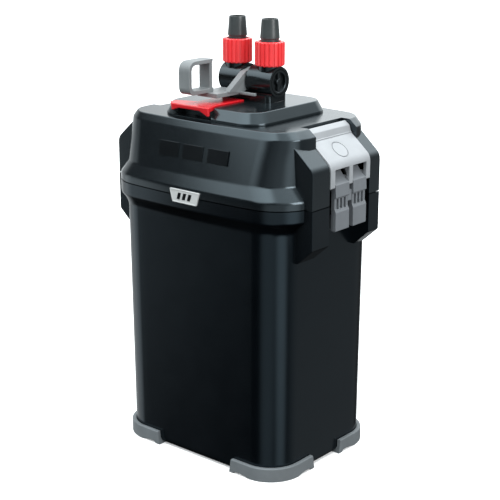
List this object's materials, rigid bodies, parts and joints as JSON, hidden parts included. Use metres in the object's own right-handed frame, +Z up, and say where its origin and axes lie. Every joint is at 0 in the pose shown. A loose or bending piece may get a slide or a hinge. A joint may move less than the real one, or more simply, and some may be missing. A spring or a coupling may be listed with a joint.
{
  "type": "canister filter",
  "caption": "Upright aquarium canister filter with a latched pump lid, a lift-off double hose valve with lever and turning hose nuts, and media baskets inside.",
  "frame": {"origin": "centre of the footprint, on the plane the four feet stand on", "axes": "+Z up, -Y the front face with the badge, the two lid latches on +X and -X"},
  "size_m": [0.2428, 0.1684, 0.4169],
  "materials": {
    "canister_black": "satin",
    "lid_charcoal": "fine satin",
    "dock_black": "satin",
    "foot_grey": "matte",
    "latch_silver": "satin",
    "hook_grey": "satin",
    "lever_grey": "satin",
    "nut_red": "satin",
    "handle_red": "gloss",
    "nozzle_slate": "satin",
    "valve_black": "gloss",
    "badge_silver": "satin",
    "emblem_black": "gloss",
    "disc_silver": "satin",
    "seal_rubber": "matte",
    "inner_plastic": "moulded",
    "basket_plastic": "moulded",
    "steel": "ground",
    "ceramic_white": "polished",
    "magnet_dark": "coated",
    "coil_resin": "potted",
    "media_rings": "loose",
    "media_carbon": "loose",
    "media_floss": "fibrous",
    "foam": "open cell"
  },
  "bodies": {
    "canister": {"canister_body": "canister_black", "foot_front_left": "foot_grey", "foot_front_right": "foot_grey", "foot_rear_left": "foot_grey", "foot_rear_right": "foot_grey", "lid_shell": "lid_charcoal", "badge_plate": "badge_silver", "front_emblem": "emblem_black", "dock_cover": "dock_black", "inlet_duct": "inner_plastic", "outlet_duct": "inner_plastic", "pump_deck": "inner_plastic", "lid_seal_ring": "seal_rubber", "impeller_well": "inner_plastic", "motor_pot": "inner_plastic", "stator_core": "steel", "stator_coils": "coil_resin", "impeller_cover": "inner_plastic", "impeller_shaft": "ceramic_white", "shaft_bushing_lower": "seal_rubber", "shaft_bushing_upper": "seal_rubber", "deck_screws": "steel", "cord_gland": "seal_rubber", "basket_lower": "basket_plastic", "biological_rings": "media_rings", "basket_middle": "basket_plastic", "carbon_granules": "media_carbon", "basket_upper": "basket_plastic", "filter_floss": "media_floss", "basket_cover": "basket_plastic", "basket_lift_handle": "basket_plastic", "foam_frame": "basket_plastic", "foam_pad_lower": "foam", "foam_pad_upper": "foam", "latch_hinge_pin_right": "steel", "latch_hinge_pin_left": "steel"},
    "valve_block": {"valve_body": "valve_black", "valve_cap_left": "valve_black", "valve_cap_right": "valve_black", "port_o_rings": "seal_rubber", "hose_nozzle_intake": "nozzle_slate", "hose_nozzle_output": "nozzle_slate"},
    "valve_lever_body": {"valve_lever": "lever_grey", "valve_rotor_left": "lever_grey", "valve_rotor_right": "lever_grey"},
    "nut_intake": {"hose_nut_intake": "nut_red"},
    "nut_output": {"hose_nut_output": "nut_red"},
    "impeller": {"impeller_magnet": "magnet_dark", "impeller_vanes": "basket_plastic"},
    "front_handle_body": {"front_handle": "handle_red"},
    "latch_right": {"latch_handle_right": "latch_silver", "latch_hook_pin_right": "steel", "latch_disc_right": "disc_silver"},
    "latch_left": {"latch_handle_left": "latch_silver", "latch_hook_pin_left": "steel", "latch_disc_left": "disc_silver"},
    "hook_right": {"latch_hook_right": "hook_grey"},
    "hook_left": {"latch_hook_left": "hook_grey"}
  },
  "joints": [
    {"name": "valve_lift", "type": "slide", "parent": "canister", "child": "valve_block", "axis": [0, 0, 1], "range_m": [0, 0.045]},
    {"name": "lever_lift", "type": "hinge", "parent": "valve_block", "child": "valve_lever_body", "pos_m": [0, 0.0119, 0.3592], "axis": [-1, 0, 0], "range_deg": [0, 40]},
    {"name": "nut_intake_turn", "type": "hinge", "parent": "valve_block", "child": "nut_intake", "pos_m": [-0.0198, 0.0119, 0.385], "axis": [0, 0, 1], "range_deg": [0, 720]},
    {"name": "nut_output_turn", "type": "hinge", "parent": "valve_block", "child": "nut_output", "pos_m": [0.0198, 0.0119, 0.385], "axis": [0, 0, 1], "range_deg": [0, 720]},
    {"name": "impeller_spin", "type": "hinge", "parent": "canister", "child": "impeller", "pos_m": [0.022, -0.026, 0.27], "axis": [0, 0, 1], "continuous": true},
    {"name": "front_handle_pull", "type": "slide", "parent": "canister", "child": "front_handle_body", "axis": [0, -1, 0], "range_m": [0, 0.008]},
    {"name": "latch_right_open", "type": "hinge", "parent": "canister", "child": "latch_right", "pos_m": [0.094, 0, 0.3215], "axis": [0, -1, 0], "range_deg": [0, 75]},
    {"name": "latch_left_open", "type": "hinge", "parent": "canister", "child": "latch_left", "pos_m": [-0.094, 0, 0.3215], "axis": [0, 1, 0], "range_deg": [0, 75]},
    {"name": "hook_right_swing", "type": "hinge", "parent": "latch_right", "child": "hook_right", "pos_m": [0.1142, 0, 0.2814], "axis": [0, -1, 0], "range_deg": [-60, 0]},
    {"name": "hook_left_swing", "type": "hinge", "parent": "latch_left", "child": "hook_left", "pos_m": [-0.1142, 0, 0.2814], "axis": [0, 1, 0], "range_deg": [-60, 0]}
  ],
  "couplings": [
    {"joint": "hook_right_swing", "follows": "latch_right_open", "ratio": -0.75},
    {"joint": "hook_left_swing", "follows": "latch_left_open", "ratio": -0.75}
  ]
}
